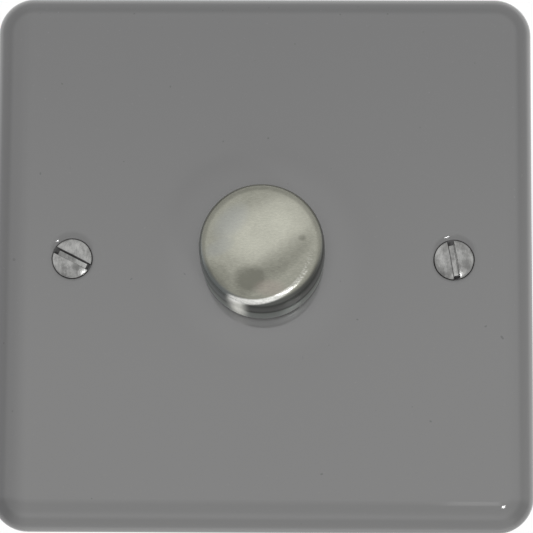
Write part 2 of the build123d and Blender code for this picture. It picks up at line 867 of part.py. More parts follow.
# Switch base: a square moulded cup behind the wafer, slotted for the fixed contacts
contact_x = bridge_length / 2 - contact_pad / 2 + bridge_overhang
leg_x = contact_x + contact_pad / 2 - bridge_sheet / 2
pad_front = bridge_back - push_travel - 3 * running_gap
with BuildPart() as switch_base:
    with BuildSketch(room(wafer_back)):
        RectangleRounded(switch_width, switch_width, switch_corner_radius)
    extrude(amount=-switch_depth)
    with BuildSketch(room(wafer_back)):
        RectangleRounded(switch_cavity, switch_cavity, switch_cavity_corner)
    extrude(amount=switch_floor - switch_depth, mode=Mode.SUBTRACT)
    with BuildSketch(room(switch_back)):
        with GridLocations(2 * leg_x, 0, 2, 1):
            Rectangle(bridge_sheet + 4 * running_gap, contact_pad + 4 * running_gap)
        Circle(plunger_stem_radius + running_gap)
    extrude(amount=switch_floor, mode=Mode.SUBTRACT)
switch_base.part.label = "switch_base"
export_step(switch_base.part, "parts/switch_base.step")


# Switch plunger: pushed by the spindle's tail, carries the bridge
with BuildPart() as switch_plunger:
    with BuildSketch(room(plunger_front)):
        Circle(plunger_boss_radius)
    extrude(amount=-plunger_boss_length)
    with BuildSketch(room(disc_front)):
        Circle(plunger_radius)
    extrude(amount=-plunger_disc)
    with BuildSketch(room(disc_back)):
        Circle(plunger_stem_radius)
    extrude(amount=switch_floor_height - stem_entry - disc_back)
switch_plunger.part.label = "switch_plunger"
export_step(switch_plunger.part, "parts/switch_plunger.step")


# Contact bridge: copper bar that joins the two fixed contacts
with BuildPart() as contact_bridge:
    with BuildSketch(room(disc_back)):
        SlotOverall(bridge_length, bridge_width)
        Circle(plunger_stem_radius + running_gap, mode=Mode.SUBTRACT)
    extrude(amount=-bridge_sheet)
contact_bridge.part.label = "contact_bridge"
export_step(contact_bridge.part, "parts/contact_bridge.step")


# Fixed contacts: two brass strips, a pad under each end of the bridge and a leg to the board
with BuildPart() as fixed_contacts:
    with BuildSketch(room(pad_front)):
        with GridLocations(2 * contact_x, 0, 2, 1):
            Rectangle(contact_pad, contact_pad)
    extrude(amount=-bridge_sheet)
    with BuildSketch(room(pad_front)):
        with GridLocations(2 * leg_x, 0, 2, 1):
            Rectangle(bridge_sheet, contact_pad)
    extrude(amount=board_front - pad_front)
fixed_contacts.part.label = "fixed_contacts"
export_step(fixed_contacts.part, "parts/fixed_contacts.step")


# Return spring: a short coil round the plunger's stem
spring_front = bridge_back - spring_wire_radius - running_gap
spring_length = spring_front - switch_floor_height - spring_wire_radius - running_gap
with BuildPart() as return_spring:
    with BuildLine():
        coil = Helix(
            pitch=spring_length / spring_turns,
            height=spring_length,
            radius=spring_radius,
            center=(0, -spring_front, 0),
            direction=(0, 1, 0),
        )
    with BuildSketch(Plane(origin=coil @ 0, z_dir=coil % 0)):
        Circle(spring_wire_radius)
    sweep(path=coil, is_frenet=True)
return_spring.part.label = "return_spring"
export_step(return_spring.part, "parts/return_spring.step")


# Circuit board, with corner room for nothing else: it rests on the case's posts
with BuildPart() as circuit_board:
    with BuildSketch(room(board_front)):
        with Locations((0, board_bottom_z)):
            Rectangle(
                board_width, board_top_z - board_bottom_z, align=(Align.CENTER, Align.MIN)
            )
    extrude(amount=-board_thickness)
circuit_board.part.label = "circuit_board"
export_step(circuit_board.part, "parts/circuit_board.step")


# Choke: a ferrite ring lying on the board, wound with enamelled wire
with BuildPart() as choke_core:
    with BuildSketch(room(board_front + 2 * choke_wire_radius + running_gap)):
        with Locations((choke_x, choke_z)):
            Circle(choke_radius - 2 * choke_wire_radius)
            Circle(choke_bore_radius, mode=Mode.SUBTRACT)
    extrude(amount=choke_height)
choke_core.part.label = "choke_core"
export_step(choke_core.part, "parts/choke_core.step")

turn_radius = (choke_radius - 2 * choke_wire_radius + choke_bore_radius) / 2
turn_width = choke_radius - 2 * choke_wire_radius - choke_bore_radius + 2 * running_gap
with BuildPart() as choke_winding:
    with BuildSketch(room(board_front + running_gap)):
        with Locations((choke_x, choke_z)):
            with PolarLocations(turn_radius, choke_turns, start_angle=30, angular_range=300):
                Rectangle(turn_width + 4 * choke_wire_radius - 2 * running_gap, 2 * choke_wire_radius)
    extrude(amount=choke_height + 4 * choke_wire_radius)
    with BuildSketch(room(board_front + 2 * choke_wire_radius + running_gap)):
        with Locations((choke_x, choke_z)):
            with PolarLocations(turn_radius, choke_turns, start_angle=30, angular_range=300):
                Rectangle(turn_width, 4 * choke_wire_radius)
    extrude(amount=choke_height, mode=Mode.SUBTRACT)
choke_winding.part.label = "choke_winding"
export_step(choke_winding.part, "parts/choke_winding.step")


# Filter capacitor: a potted box with rounded edges
with BuildPart() as filter_capacitor:
    with BuildSketch(room(board_front)):
        with Locations((capacitor_x, board_top_z - capacitor_width / 2 - capacitor_margin)):
            Rectangle(capacitor_length, capacitor_width)
    extrude(amount=capacitor_height)
    fillet(filter_capacitor.edges().filter_by(Axis.Y), capacitor_fillet)
filter_capacitor.part.label = "filter_capacitor"
export_step(filter_capacitor.part, "parts/filter_capacitor.step")


# Triac: metal tab flat on the frame, moulded body, three legs down to the board
body_top_z = rivet_z - triac_tab_length / 2
body_bottom_z = body_top_z - triac_body_length
with BuildPart() as triac:
    with BuildSketch(room(frame_back)):
        with Locations((triac_x, body_bottom_z)):
            Rectangle(
                triac_width,
                triac_body_length + triac_tab_length,
                align=(Align.CENTER, Align.MIN),
            )
        with Locations((triac_x, rivet_z)):
            Circle(rivet_radius + running_gap, mode=Mode.SUBTRACT)
    extrude(amount=-triac_tab_sheet)
    with BuildSketch(room(frame_back - triac_tab_sheet)):
        with Locations((triac_x, body_bottom_z)):
            Rectangle(triac_width, triac_body_length, align=(Align.CENTER, Align.MIN))
    extrude(amount=-triac_body_depth)
    with BuildSketch(room(frame_back - triac_tab_sheet - triac_body_depth)):
        with Locations((triac_x, body_bottom_z + triac_leg)):
            with GridLocations(triac_leg_pitch, triac_leg_pitch, 3, 1):
                Rectangle(triac_leg, triac_leg)
    extrude(amount=board_front - (frame_back - triac_tab_sheet - triac_body_depth))
triac.part.label = "triac"
export_step(triac.part, "parts/triac.step")


# Triac rivet: through the tab and the frame, domed on the inside and flush with the plate
with BuildPart() as triac_rivet:
    with BuildSketch(turned(triac_x, rivet_z)):
        with BuildLine():
            tab_back = frame_back - triac_tab_sheet
            Polyline(
                (0, plate_back - running_gap),
                (rivet_radius - running_gap, plate_back - running_gap),
                (rivet_radius - running_gap, tab_back),
                (1.7 * rivet_radius, tab_back),
            )
            Line((0, plate_back - running_gap), (0, tab_back - rivet_radius / 2))
            TangentArc(
                (0, tab_back - rivet_radius / 2), (1.7 * rivet_radius, tab_back), tangent=(1, 0)
            )
        make_face()
    revolve(axis=turning_axis(triac_x, rivet_z))
triac_rivet.part.label = "triac_rivet"
export_step(triac_rivet.part, "parts/triac_rivet.step")


# Fuse: glass tube between two end caps that sit in clips on the board
fuse_height = board_front + fuse_radius + fuse_stand
fuse_cap_z = (fuse_length - fuse_cap_length) / 2
with BuildPart() as fuse:
    with BuildSketch(Plane(origin=(fuse_x, -fuse_height, fuse_z), z_dir=(0, 0, 1))):
        Circle(fuse_radius - fuse_cap_sheet)
    extrude(amount=fuse_length / 2, both=True)
    for end in (-1, 1):
        cap_plane = Plane(
            origin=(fuse_x, -fuse_height, fuse_z + end * fuse_cap_z), z_dir=(0, 0, 1)
        )
        with BuildSketch(cap_plane):
            Circle(fuse_radius)
        extrude(amount=fuse_cap_length / 2, both=True)
fuse.part.label = "fuse"
export_step(fuse.part, "parts/fuse.step")

with BuildPart() as fuse_clips:
    for end in (-1, 1):
        clip_plane = Plane(
            origin=(fuse_x, -fuse_height, fuse_z + end * fuse_cap_z), z_dir=(0, 0, 1)
        )
        with BuildSketch(clip_plane):
            Circle(fuse_radius + running_gap + fuse_clip_sheet)
            with Locations((0, fuse_radius)):
                Rectangle(fuse_clip_foot, fuse_stand, align=(Align.CENTER, Align.MIN))
            Circle(fuse_radius + running_gap, mode=Mode.SUBTRACT)
            with Locations((0, -fuse_radius)):
                Rectangle(1.2 * fuse_radius, 2 * fuse_radius, mode=Mode.SUBTRACT)
        extrude(amount=fuse_cap_length / 2 - fuse_clip_inset, both=True)
fuse_clips.part.label = "fuse_clips"
export_step(fuse_clips.part, "parts/fuse_clips.step")


# Resistors: three axial bodies lying beside the pot, each on one wire bent down to the board
resistor_height = board_front + resistor_radius + resistor_stand
lead_reach = resistor_length / 2 + lead_overhang
with BuildPart() as resistors:
    for place in range(resistor_count):
        x = resistor_x - place * resistor_pitch
        with BuildLine():
            lead = FilletPolyline(
                (x, -board_front, resistor_z - lead_reach),
                (x, -resistor_height, resistor_z - lead_reach),
                (x, -resistor_height, resistor_z + lead_reach),
                (x, -board_front, resistor_z + lead_reach),
                radius=2 * lead_radius,
            )
        with BuildSketch(Plane(origin=lead @ 0, z_dir=lead % 0)):
            Circle(lead_radius)
        sweep(path=lead)
        with BuildSketch(Plane(origin=(x, -resistor_height, resistor_z), z_dir=(0, 0, 1))):
            Circle(resistor_radius)
        extrude(amount=resistor_length / 2, both=True)
resistors.part.label = "resistors"
export_step(resistors.part, "parts/resistors.step")


# Terminals: brass blocks with a wire hole from below and a tapped hole from behind
for place, name in enumerate(("terminal_line_1", "terminal_common", "terminal_line_2")):
    x = (place - (terminal_count - 1) / 2) * terminal_pitch
    with BuildPart() as terminal:
        with BuildSketch(room(terminal_back)):
            with Locations((x, terminal_z)):
                Rectangle(terminal_width, terminal_length)
        extrude(amount=terminal_depth)
        chamfer(terminal.edges().filter_by(Axis.Y), terminal_chamfer)
        with BuildSketch(Plane.XY.offset(terminal_z - terminal_length / 2)):
            with Locations((x, -wire_height)):
                Circle(wire_hole_radius)
        extrude(amount=terminal_length - terminal_end_wall, mode=Mode.SUBTRACT)
        with BuildSketch(room(terminal_back)):
            with Locations((x, terminal_z)):
                Circle(clamp_radius + running_gap)
        extrude(amount=wire_hole_rise, mode=Mode.SUBTRACT)
        with BuildSketch(room(board_front)):
            with Locations((x + solder_leg_shift, bay_top_z)):
                Rectangle(solder_leg_width, 2 * (bay_wall + 3 * pocket_gap))
        extrude(amount=solder_leg_sheet)
    terminal.part.label = name
    export_step(terminal.part, f"parts/{name}.step")


# Terminal screws: cheese heads in the case's wells, tips just clear of the wire holes
with BuildPart() as terminal_screws:
    tip = wire_height - wire_hole_radius - clamp_tip_gap
    for place in range(terminal_count):
        x = (place - (terminal_count - 1) / 2) * terminal_pitch
        with BuildSketch(room(tip)):
            with Locations((x, terminal_z)):
                Circle(clamp_radius)
        extrude(amount=-clamp_length)
        with BuildSketch(room(tip - clamp_length)):
            with Locations((x, terminal_z)):
                Circle(clamp_head_radius)
        extrude(amount=-clamp_head_thickness)
        with BuildSketch(room(tip - clamp_length - clamp_head_thickness)):
            with Locations((x, terminal_z)):
                Rectangle(3 * clamp_head_radius, clamp_slot_width, rotation=20 + 55 * place)
        extrude(amount=clamp_head_thickness / 2, mode=Mode.SUBTRACT)
terminal_screws.part.label = "terminal_screws"
export_step(terminal_screws.part, "parts/terminal_screws.step")


# Earth terminal: brass block welded to the plate's back, wire hole from above
earth_back = plate_back - earth_depth
earth_wire_height = earth_back + earth_wire_rise
with BuildPart() as earth_terminal:
    with BuildSketch(room(plate_back)):
        with Locations((earth_x, earth_z)):
            Rectangle(earth_width, earth_length)
    extrude(amount=-earth_depth)
    chamfer(earth_terminal.edges().filter_by(Axis.Y), terminal_chamfer)
    with BuildSketch(Plane.XY.offset(earth_z)):
        with Locations((earth_x, -earth_wire_height)):
            Circle(earth_wire_radius)
    extrude(amount=earth_length, both=True, mode=Mode.SUBTRACT)
    with BuildSketch(room(earth_back)):
        with Locations((earth_x, earth_z)):
            Circle(clamp_radius + running_gap)
    extrude(amount=earth_wire_rise, mode=Mode.SUBTRACT)
earth_terminal.part.label = "earth_terminal"
export_step(earth_terminal.part, "parts/earth_terminal.step")

with BuildPart() as earth_screw:
    earth_tip = earth_wire_height - earth_wire_radius - clamp_tip_gap
    with BuildSketch(room(earth_tip)):
        with Locations((earth_x, earth_z)):
            Circle(clamp_radius)
    extrude(amount=-clamp_length)
    with BuildSketch(room(earth_tip - clamp_length)):
        with Locations((earth_x, earth_z)):
            Circle(clamp_head_radius)
    extrude(amount=-clamp_head_thickness)
    with BuildSketch(room(earth_tip - clamp_length - clamp_head_thickness)):
        with Locations((earth_x, earth_z)):
            Rectangle(3 * clamp_head_radius, clamp_slot_width, rotation=-35)
    extrude(amount=clamp_head_thickness / 2, mode=Mode.SUBTRACT)
earth_screw.part.label = "earth_screw"
export_step(earth_screw.part, "parts/earth_screw.step")
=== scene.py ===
import math

import bmesh
import bpy
from mathutils import Matrix, Vector


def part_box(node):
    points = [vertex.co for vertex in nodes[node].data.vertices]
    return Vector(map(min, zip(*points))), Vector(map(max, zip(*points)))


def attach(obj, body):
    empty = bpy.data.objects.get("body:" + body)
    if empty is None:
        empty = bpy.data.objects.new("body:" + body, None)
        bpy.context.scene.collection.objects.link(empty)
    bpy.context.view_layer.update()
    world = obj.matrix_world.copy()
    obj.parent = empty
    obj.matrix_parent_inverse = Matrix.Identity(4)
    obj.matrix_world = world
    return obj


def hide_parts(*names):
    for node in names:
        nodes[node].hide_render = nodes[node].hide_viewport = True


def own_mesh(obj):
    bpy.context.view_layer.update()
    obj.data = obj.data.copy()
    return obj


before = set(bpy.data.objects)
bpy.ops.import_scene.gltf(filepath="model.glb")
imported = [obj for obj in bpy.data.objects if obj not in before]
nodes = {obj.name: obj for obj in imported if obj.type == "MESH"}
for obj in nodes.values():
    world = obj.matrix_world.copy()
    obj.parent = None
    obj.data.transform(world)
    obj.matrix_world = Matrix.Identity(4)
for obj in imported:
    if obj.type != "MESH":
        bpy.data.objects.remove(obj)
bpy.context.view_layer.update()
mm = 0.001


# Front plate: mild steel, pressed so that its edges roll back to the wall and the screw holes
# are dimpled, sprayed with grey enamel and stoved. Painted shade darkens its colour towards the
# top and over the side edges, painted light makes it paler in a ring round the knob, and a
# painted shadow marks the gap at the edge of each screw hole.
class Signal:
    """One output of a shader node; sums on signals add the Math nodes that they need."""

    def __init__(self, finish, socket):
        self.finish = finish
        self.socket = socket

    def math(self, operation, first, second):
        return self.finish.node("ShaderNodeMath", {"operation": operation}, {0: first, 1: second})

    def __add__(self, other):
        return self.math("ADD", self, other)

    def __radd__(self, other):
        return self.math("ADD", other, self)

    def __sub__(self, other):
        return self.math("SUBTRACT", self, other)

    def __rsub__(self, other):
        return self.math("SUBTRACT", other, self)

    def __mul__(self, other):
        return self.math("MULTIPLY", self, other)

    def __truediv__(self, other):
        return self.math("DIVIDE", self, other)

    def __pow__(self, other):
        return self.math("POWER", self, other)


class Finish:
    """A material; its own shader's sockets are set by name, with a number or a signal."""

    def __init__(self, name, **sockets):
        self.material = bpy.data.materials.new(name)
        self.material.use_nodes = True
        self.tree = self.material.node_tree
        self.shader = self.tree.nodes["Principled BSDF"]
        self.set(**sockets)

    def set(self, **sockets):
        for name, value in sockets.items():
            self.plug(self.shader.inputs[name.replace("_", " ")], value)

    def plug(self, socket, value):
        """Links a signal to a socket, or sets a number or a colour on it."""
        if isinstance(value, Signal):
            self.tree.links.new(value.socket, socket)
        elif socket.type == "RGBA" and len(value) == 3:
            socket.default_value = (*value, 1.0)
        else:
            socket.default_value = value

    def node(self, kind, settings=None, sockets=None, out=0):
        """Any node: its settings first, then its sockets' values or signals."""
        made = self.tree.nodes.new(kind)
        for name, value in (settings or {}).items():
            setattr(made, name, value)
        for name, value in (sockets or {}).items():
            self.plug(made.inputs[name], value)
        return Signal(self, made.outputs[out])

    def place(self, scale=(1.0, 1.0, 1.0), turn=(0.0, 0.0, 0.0)):
        """The point on the piece, in metres in the row frame, stretched and turned."""
        at = self.node("ShaderNodeTexCoord", out="Object")
        sockets = {"Vector": at, "Scale": scale, "Rotation": turn}
        return self.node("ShaderNodeMapping", {}, sockets)

    def axes(self, point):
        """The three numbers of a vector."""
        split = self.node("ShaderNodeSeparateXYZ", {}, {0: point}).socket.node
        return [Signal(self, socket) for socket in split.outputs]

    def noise(self, scale, detail=3.0, roughness=0.5, at=None):
        sockets = {"Scale": scale, "Detail": detail, "Roughness": roughness}
        return self.node("ShaderNodeTexNoise", {}, {"Vector": at or self.place(), **sockets})

    def between(self, amount, low, high):
        """Straight line from low to high as amount goes from 0 to 1, kept inside them."""
        sockets = {"Value": amount, "To Min": low, "To Max": high}
        return self.node("ShaderNodeMapRange", {}, sockets)

    def ease(self, amount, low, high):
        """0 where amount is at low and 1 where it is at high, with soft ends."""
        sockets = {"Value": amount, "From Min": low, "From Max": high}
        return self.node("ShaderNodeMapRange", {"interpolation_type": "SMOOTHSTEP"}, sockets)

    def blend(self, amount, first, second):
        """Two colours mixed by amount."""
        sockets = {"Factor": amount, 6: first, 7: second}
        return self.node("ShaderNodeMix", {"data_type": "RGBA"}, sockets, out=2)

    def relief(self, height, depth, strength):
        """Bump on the shader's normal; depth is in metres."""
        sockets = {"Height": height, "Distance": depth, "Strength": strength}
        self.set(Normal=self.node("ShaderNodeBump", {}, sockets))


def dress(finish, slot_name, *names):
    """Gives CAD nodes their finish."""
    for name in names:
        piece = nodes[name]
        piece.data.materials.clear()
        piece.data.materials.append(finish.material)


screw_reach = 30.15
top_shade_height, lit_low_height = 46.0, -22.0
light_ring_inner, light_ring_outer = 10.0, 17.5
left_flat, left_fold, right_flat, right_fold = -36.5, -40.0, 38.0, 40.5
lip_outer, lip_inner, throat_outer, throat_inner = 3.36, 3.16, 3.14, 2.98
shaded_coat, lit_coat = (0.112, 0.112, 0.113), (0.150, 0.150, 0.149)
painted_light_coat, edge_shade_coat = (0.175, 0.175, 0.175), (0.100, 0.100, 0.101)
dust_grey, pit_grey = (0.2, 0.2, 0.2), (0.05, 0.05, 0.05)
lip_shadow_black, throat_shadow_grey = (0.006, 0.006, 0.006), (0.03, 0.03, 0.03)

enamel = Finish("grey_enamel", Metallic=0.0, IOR=1.9)
across, _, up = enamel.axes(enamel.place())
from_middle = (across**2.0 + up**2.0) ** 0.5
# Painted shade: the enamel's colour darkens towards the top of the plate, with a little random
# mottle.
painted_light_and_mottle = enamel.ease(up, top_shade_height * mm, lit_low_height * mm) * 0.85 + enamel.noise(18.0) * 0.15
# Painted light: the enamel's colour is paler in a ring round the knob, against the knob's shadow.
painted_light_ring = enamel.ease(from_middle, light_ring_outer * mm, light_ring_inner * mm)
# Painted shade: darker over the left rolled edge, and a little over the right one.
painted_left_shade = enamel.ease(across, left_flat * mm, left_fold * mm)
painted_right_shade = enamel.ease(across, right_flat * mm, right_fold * mm)
dust = enamel.ease(enamel.noise(2600.0, 2.0), 0.70, 0.80)
pits = enamel.ease(enamel.noise(700.0, 1.0), 0.772, 0.80)
coat = enamel.blend(painted_light_and_mottle, shaded_coat, lit_coat)
coat = enamel.blend(painted_light_ring * 0.9, coat, painted_light_coat)
coat = enamel.blend(painted_left_shade + painted_right_shade * 0.3, coat, edge_shade_coat)
coat = enamel.blend(dust * 0.35, coat, dust_grey)
coat = enamel.blend(pits * 0.5, coat, pit_grey)

one_side = enamel.node(
    "ShaderNodeVectorMath", {"operation": "ABSOLUTE"}, {0: enamel.place((1.0, 0.0, 1.0))}
)
from_screw = enamel.node(
    "ShaderNodeVectorMath",
    {"operation": "DISTANCE"},
    {0: one_side, 1: (screw_reach * mm, 0.0, 0.0)},
    "Value",
)
# Painted shadow: near-black in the gap round each screw head, dark grey inside the countersink.
throat = enamel.ease(from_screw, throat_outer * mm, throat_inner * mm)
hole_shadow = enamel.blend(throat, lip_shadow_black, throat_shadow_grey)
enamel.set(
    Base_Color=enamel.blend(enamel.ease(from_screw, lip_outer * mm, lip_inner * mm), coat, hole_shadow),
    Roughness=enamel.between(enamel.noise(60.0, 4.0), 0.03, 0.08),
)
orange_peel = enamel.noise(420.0, 2.0) * 0.12 + enamel.noise(2200.0, 1.0) * 0.04
orange_peel = orange_peel + enamel.noise(75.0, 2.0)
enamel.relief(orange_peel, 0.06 * mm, 0.14)
dress(enamel, "enamelled_steel", "front_plate")


# Fixing screws: M3.5, cold headed with a raised countersunk head, sawn across for the slot,
# rolled between dies for the thread and nickel plated. A screwdriver has dulled the slots'
# edges. They are turned only while the plate is put up, so they ride on the housing.
def shown(mesh, name, crease):
    """Puts a finished bmesh in the scene, smooth but for edges over crease degrees."""
    bmesh.ops.recalc_face_normals(mesh, faces=mesh.faces)
    data = bpy.data.meshes.new(name)
    mesh.to_mesh(data)
    mesh.free()
    data.shade_smooth()
    data.set_sharp_from_angle(angle=math.radians(crease))
    piece = bpy.data.objects.new(name, data)
    bpy.context.scene.collection.objects.link(piece)
    return piece


def on_circle(mesh, x, radius, angle, height):
    """A point round the Y direction at x; height is the distance from the wall in mm."""
    across, up = x + radius * math.cos(angle), radius * math.sin(angle)
    return mesh.verts.new((across * mm, -height * mm, up * mm))


def turned(name, outline, steps, x=0.0):
    """Turns an outline of (radius, height) points in mm about the Y direction at x."""
    mesh = bmesh.new()
    angles = [2 * math.pi * step / steps for step in range(steps)]
    rings = [
        [on_circle(mesh, x, radius, angle, height) for angle in (angles if radius else [0.0])]
        for radius, height in outline
    ]
    for low, high in zip(rings, rings[1:]):
        for step in range(steps):
            after = (step + 1) % steps
            corners = [low[step % len(low)], low[after % len(low)]]
            corners += [high[after % len(high)], high[step % len(high)]]
            mesh.faces.new(dict.fromkeys(corners))
    return shown(mesh, name, 35)


def rolled_thread(name, x, low, high, root, crest, pitch, steps=40):
    """Solid rod with a thread; its rows of points follow the helix, six to a turn."""
    mesh = bmesh.new()
    profile = (0.0, 0.0, 0.55, 1.0, 1.0, 0.55)
    turn_rows = len(profile)
    last = round(turn_rows * (high - low) / pitch) + turn_rows
    rows = {}
    for row in range(-turn_rows, last + turn_rows + 1):
        for step in range(steps):
            height = low + (row + turn_rows * step / steps) * pitch / turn_rows
            kept = min(max(height, low), high)
            fade = min((kept - low) / pitch, (high - kept) / pitch, 1.0)
            radius = root + (crest - root) * profile[row % turn_rows] * fade
            rows[row, step] = on_circle(mesh, x, radius, 2 * math.pi * step / steps, kept)
        rows[row - turn_rows, steps] = rows[row, 0]
    for row in range(-turn_rows, last):
        for step in range(steps):
            low_edge = [rows[row, step], rows[row, step + 1]]
            mesh.faces.new(low_edge + [rows[row + 1, step + 1], rows[row + 1, step]])
    bmesh.ops.remove_doubles(mesh, verts=mesh.verts, dist=0.0005 * mm)
    bmesh.ops.dissolve_degenerate(mesh, edges=mesh.edges, dist=0.0002 * mm)
    bmesh.ops.holes_fill(mesh, edges=mesh.edges, sides=0)
    return shown(mesh, name, 50)


def saw(piece, x, top, depth, width, length, turn, worn):
    """Saws a slot with a rounded floor across a head, then wears its edges."""
    mesh = bmesh.new()
    bmesh.ops.create_cube(mesh, size=1.0)
    bmesh.ops.scale(mesh, vec=(length * mm, depth * mm, width * mm), verts=mesh.verts)
    floor_edges = [
        edge
        for edge in mesh.edges
        if all(vert.co.y > 0 for vert in edge.verts)
        and edge.verts[0].co.x != edge.verts[1].co.x
    ]
    bmesh.ops.bevel(mesh, geom=floor_edges, offset=0.12 * mm, segments=3, affect="EDGES")
    spin = Matrix.Rotation(math.radians(-turn), 3, "Y")
    bmesh.ops.rotate(mesh, cent=(0, 0, 0), matrix=spin, verts=mesh.verts)
    bmesh.ops.translate(mesh, vec=(x * mm, (depth / 2 - top) * mm, 0.0), verts=mesh.verts)
    blade = shown(mesh, "saw_blade", 30)
    cut = piece.modifiers.new("slot", "BOOLEAN")
    cut.operation, cut.solver, cut.object = "DIFFERENCE", "EXACT", blade
    edges = piece.modifiers.new("worn_edges", "BEVEL")
    edges.width, edges.segments, edges.limit_method = worn * mm, 2, "ANGLE"
    edges.angle_limit = math.radians(50)
    bpy.context.view_layer.update()
    ready = piece.evaluated_get(bpy.context.evaluated_depsgraph_get())
    sawn = bpy.data.meshes.new_from_object(ready)
    piece.modifiers.clear()
    piece.data = sawn
    bpy.data.objects.remove(blade)


head_radius, neck_radius, neck_end, cone_end, head_rim, rim_land = 3.1, 1.5, 1.0, 3.45, 5.05, 0.14
cone_middle, rim_break, dome_radius, dome_top, dome_edge = (2.2, 4.15), 0.05, 9.01, 5.75, 3.0
slot_width, slot_floor, slot_over, slot_wear, dome_steps = 1.0, 4.4, 0.6, 0.045, 14
thread_tip, thread_end, thread_root, thread_crest, thread_pitch = -19.5, 1.05, 1.38, 1.74, 0.6
left_turn, right_turn = -27.0, 100.0
worn_height, clean_height, slot_shade_foot, slot_shade_height = 4.2, 3.2, 3.6, 3.8
slot_shade_start, slot_shade_full, slot_shade_fade, slot_shade_end = 0.30, 0.40, 0.56, 0.62
head_outline = [(0.0, neck_end), (neck_radius, neck_end), (neck_radius, cone_end), cone_middle]
head_outline += [(head_radius - 0.06, head_rim - 0.04), (head_radius, head_rim)]
head_outline += [(head_radius, head_rim + rim_land - rim_break)]
head_outline += [(head_radius - 0.02, head_rim + rim_land)]
for step in range(dome_steps, -1, -1):
    radius = dome_edge * step / dome_steps
    sagitta = dome_radius - math.sqrt(dome_radius**2 - radius**2)
    head_outline.append((radius, dome_top - sagitta))
for side, x, turn in (("left", -screw_reach, left_turn), ("right", screw_reach, right_turn)):
    head = turned(f"{side}_screw_head", head_outline, 128, x)
    saw_top, saw_length = dome_top + slot_over, 3 * head_radius
    saw(head, x, saw_top, saw_top - slot_floor, slot_width, saw_length, turn, slot_wear)
    thread = rolled_thread(
        f"{side}_screw_thread", x, thread_tip, thread_end, thread_root, thread_crest, thread_pitch
    )
    plated = Finish(f"{side}_nickel_plate", Metallic=1.0)
    lean = math.radians(turn)
    across, depth, up = plated.axes(plated.place())
    over_slot = up * math.cos(lean) - (across - x * mm) * math.sin(lean)
    height = depth * -1.0
    mottle = plated.noise(520.0, 4.0, 0.6)
    scratch = plated.noise(2600.0, 4.0, 0.7, plated.place((1.0, 1.0, 0.3), (0.0, lean, 0.0)))
    shade = mottle * 0.7 + scratch * 0.3
    worn_head = plated.blend(
        plated.ease(shade, 0.34, 0.66), (0.20, 0.20, 0.195), (0.44, 0.44, 0.43)
    )
    clean_shank = plated.blend(shade, (0.50, 0.50, 0.485), (0.66, 0.66, 0.64))
    shank = plated.ease(height, worn_height * mm, clean_height * mm)
    # Painted shade lies along the upper wall of the slot, down to its floor
    slot_shade = plated.ease(over_slot, slot_shade_start * mm, slot_shade_full * mm)
    slot_shade = slot_shade * plated.ease(over_slot, slot_shade_end * mm, slot_shade_fade * mm)
    slot_shade = slot_shade * plated.ease(height, slot_shade_foot * mm, slot_shade_height * mm)
    nickel = plated.blend(shank, worn_head, clean_shank)
    plated.set(
        Base_Color=plated.blend(slot_shade * 0.9, nickel, (0.02, 0.02, 0.02)),
        Roughness=plated.between(shade, 0.12, 0.34),
    )
    plated.relief(scratch, 0.03 * mm, 0.25)
    for piece in (head, thread):
        piece.data.materials.append(plated.material)
        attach(piece, "housing")
        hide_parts(f"fixing_screw_{side}")


# Screw retainers: washers punched from red vulcanised fibre. They grip the thin necks of the
# fixing screws behind the plate, so that the screws can't drop out while it is put up.
def grained(name, scale, dark, pale, gloss, dull, depth, stretch=(1.0, 1.0, 1.0), **sockets):
    """Finish whose grain shades its colour and roughness and stands up by depth mm."""
    made = Finish(name, **sockets)
    grain = made.noise(scale, 4.0, 0.6, made.place(stretch))
    drift = made.noise(scale / 14)
    made.set(
        Base_Color=made.blend(made.ease(grain * 0.5 + drift * 0.5, 0.3, 0.7), dark, pale),
        Roughness=made.between(grain, gloss, dull),
    )
    made.relief(grain, depth * mm, 0.5)
    return made


fibre = grained(
    "red_fibre", 1200.0, (0.24, 0.04, 0.028), (0.50, 0.12, 0.075), 0.55, 0.85, 0.05, (1.0, 1.0, 0.3)
)
dress(fibre, "red_fibre", "screw_retainers")


# Insulating liner: a thin tray, injection moulded in black with a fine spark texture, pushed
# into the back of the plate so that no loose wire can touch the metal.
black = grained(
    "black_moulding", 3000.0, (0.016, 0.016, 0.017), (0.044, 0.044, 0.046), 0.38, 0.62, 0.04
)
dress(black, "black_moulding", "insulating_liner")


# Earth terminal: a block sawn from drawn brass bar and riveted to the plate's back, with a
# zinc plated clamp screw. It keeps saw marks and has gone a little dull.
brass = Finish("machined_brass", Metallic=1.0)
tarnish = brass.noise(120.0, 5.0, 0.6)
tool_marks = brass.noise(2400.0, 2.0, 0.5, brass.place((0.05, 1.0, 0.05)))
brass.set(
    Base_Color=brass.blend(tarnish, (0.56, 0.38, 0.14), (0.83, 0.65, 0.33)),
    Roughness=brass.between(tarnish * 0.5 + tool_marks * 0.5, 0.16, 0.42),
)
brass.relief(tool_marks, 0.02 * mm, 0.4)
dress(brass, "turned_brass", "earth_terminal")
zinc = grained(
    "zinc_plate", 1800.0, (0.46, 0.47, 0.50), (0.72, 0.73, 0.75), 0.22, 0.42, 0.02, Metallic=1.0
)
dress(zinc, "zinc_steel", "earth_screw")


# Mounting frame: sheet aluminium, blanked and folded to a channel that holds the module and
# takes the heat of the power device. Left as rolled, with fine lines along the sheet.
aluminium = Finish("mill_aluminium", Metallic=1.0)
rolled = aluminium.noise(900.0, 4.0, 0.6, aluminium.place((1.0, 1.0, 0.04)))
stain = aluminium.noise(70.0, 4.0)
aluminium.set(
    Base_Color=aluminium.blend(
        aluminium.ease(stain * 0.6 + rolled * 0.4, 0.35, 0.65), (0.54, 0.55, 0.57), (0.82, 0.83, 0.84)
    ),
    Roughness=aluminium.between(rolled * 0.6 + stain * 0.4, 0.22, 0.5),
)
aluminium.relief(rolled, 0.03 * mm, 0.5)
dress(aluminium, "folded_aluminium", "mounting_frame")


